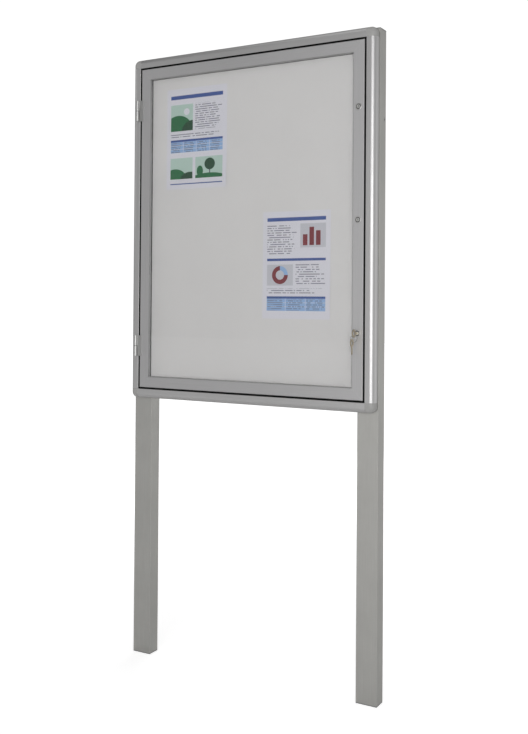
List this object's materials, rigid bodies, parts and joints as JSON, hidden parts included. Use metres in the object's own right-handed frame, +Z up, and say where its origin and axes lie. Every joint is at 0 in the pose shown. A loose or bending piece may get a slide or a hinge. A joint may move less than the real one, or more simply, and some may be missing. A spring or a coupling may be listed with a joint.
{
  "type": "outdoor notice board on two posts",
  "caption": "Flat glazed display case with a hinged, lockable door on two square aluminium posts, for showing paper notices outdoors.",
  "frame": {"origin": "middle of the left post's foot, on its underside", "axes": "+X to the right along the board, +Y into the board from its front to its back, +Z up"},
  "size_m": [0.796, 0.099, 1.788],
  "materials": {
    "anodised_frame": "satin",
    "anodised_door": "satin",
    "anodised_post": "satin",
    "corner_moulding": "satin",
    "plug_moulding": "matt",
    "panel_enamel": "satin",
    "seal_rubber": "matt",
    "gasket_rubber": "matt",
    "lock_housing_black": "satin",
    "pane_glass": "polished",
    "notice_paper": "matt",
    "hinge_metal": "satin",
    "pin_steel": "satin",
    "lock_nickel": "polished",
    "cam_steel": "satin",
    "key_nickel": "satin",
    "ring_steel": "polished"
  },
  "bodies": {
    "stand": {"left_post": "anodised_post", "right_post": "anodised_post", "left_case_profile": "anodised_frame", "right_case_profile": "anodised_frame", "top_case_profile": "anodised_frame", "bottom_case_profile": "anodised_frame", "lower_left_case_corner": "corner_moulding", "lower_right_case_corner": "corner_moulding", "upper_left_case_corner": "corner_moulding", "upper_right_case_corner": "corner_moulding", "left_foot_plug": "plug_moulding", "right_foot_plug": "plug_moulding", "left_top_plug": "plug_moulding", "right_top_plug": "plug_moulding", "back_panel": "panel_enamel", "door_seal": "seal_rubber", "upper_notice_sheet": "notice_paper", "lower_notice_sheet": "notice_paper", "lower_hinge_pin": "pin_steel", "upper_hinge_pin": "pin_steel", "lower_hinge_frame_leaf": "hinge_metal", "upper_hinge_frame_leaf": "hinge_metal"},
    "door": {"hinge_stile": "anodised_door", "lock_stile": "anodised_door", "top_rail": "anodised_door", "bottom_rail": "anodised_door", "glass_pane": "pane_glass", "pane_gasket": "gasket_rubber", "lower_hinge_door_leaf": "hinge_metal", "upper_hinge_door_leaf": "hinge_metal", "lower_lock_housing": "lock_housing_black", "middle_lock_housing": "lock_housing_black", "upper_lock_housing": "lock_housing_black"},
    "lower_lock": {"lower_lock_plug": "lock_nickel", "lower_lock_cam": "cam_steel", "key": "key_nickel"},
    "middle_lock": {"middle_lock_plug": "lock_nickel", "middle_lock_cam": "cam_steel"},
    "upper_lock": {"upper_lock_plug": "lock_nickel", "upper_lock_cam": "cam_steel"},
    "spare_key_ring": {"key_ring": "ring_steel", "spare_key": "key_nickel"}
  },
  "joints": [
    {"name": "door_swing", "type": "hinge", "parent": "stand", "child": "door", "pos_m": [-0.008, -0.0515, 1.279], "axis": [0, 0, -1], "range_deg": [0, 110]},
    {"name": "lower_lock_turn", "type": "hinge", "parent": "door", "child": "lower_lock", "pos_m": [0.71625, -0.046, 0.9795], "axis": [0, -1, 0], "range_deg": [0, 90]},
    {"name": "middle_lock_turn", "type": "hinge", "parent": "door", "child": "middle_lock", "pos_m": [0.71625, -0.046, 1.279], "axis": [0, -1, 0], "range_deg": [0, 90]},
    {"name": "upper_lock_turn", "type": "hinge", "parent": "door", "child": "upper_lock", "pos_m": [0.71625, -0.046, 1.5785], "axis": [0, -1, 0], "range_deg": [0, 90]},
    {"name": "key_ring_swing", "type": "hinge", "parent": "lower_lock", "child": "spare_key_ring", "pos_m": [0.71825, -0.068, 0.971], "axis": [0, -1, 0], "range_deg": [-90, 0]}
  ],
  "couplings": [
    {"joint": "key_ring_swing", "follows": "lower_lock_turn", "ratio": -1}
  ]
}
